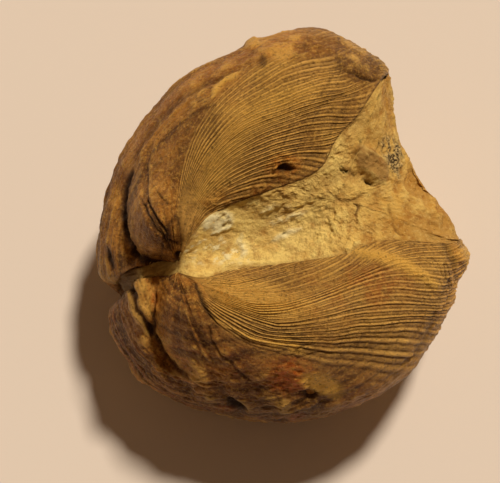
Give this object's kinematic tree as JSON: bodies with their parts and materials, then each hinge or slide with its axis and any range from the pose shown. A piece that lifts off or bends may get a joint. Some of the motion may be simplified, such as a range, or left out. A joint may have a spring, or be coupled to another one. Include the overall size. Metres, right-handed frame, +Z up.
{
  "type": "fossil clam",
  "caption": "Fossil clam: ribbed valves gaping around the stone that fills them, lying with the hinge side up on a small worn flat.",
  "frame": {"origin": "middle of the worn flat the fossil rests on", "axes": "+Z up out of the flat; the gape between the valves runs along X, with the beaks towards -X and the open rear towards +X; +Y towards the right valve"},
  "size_m": [0.082, 0.0841, 0.0573],
  "materials": {
    "stone": "dry, rough, ochre stone with pale calcite",
    "shell_right": "brown fossil shell with tan ribs, slightly satin",
    "shell_left": "brown fossil shell with tan ribs, slightly satin"
  },
  "bodies": {
    "root": {"matrix": "stone", "right_valve": "shell_right", "left_valve": "shell_left"}
  },
  "joints": []
}
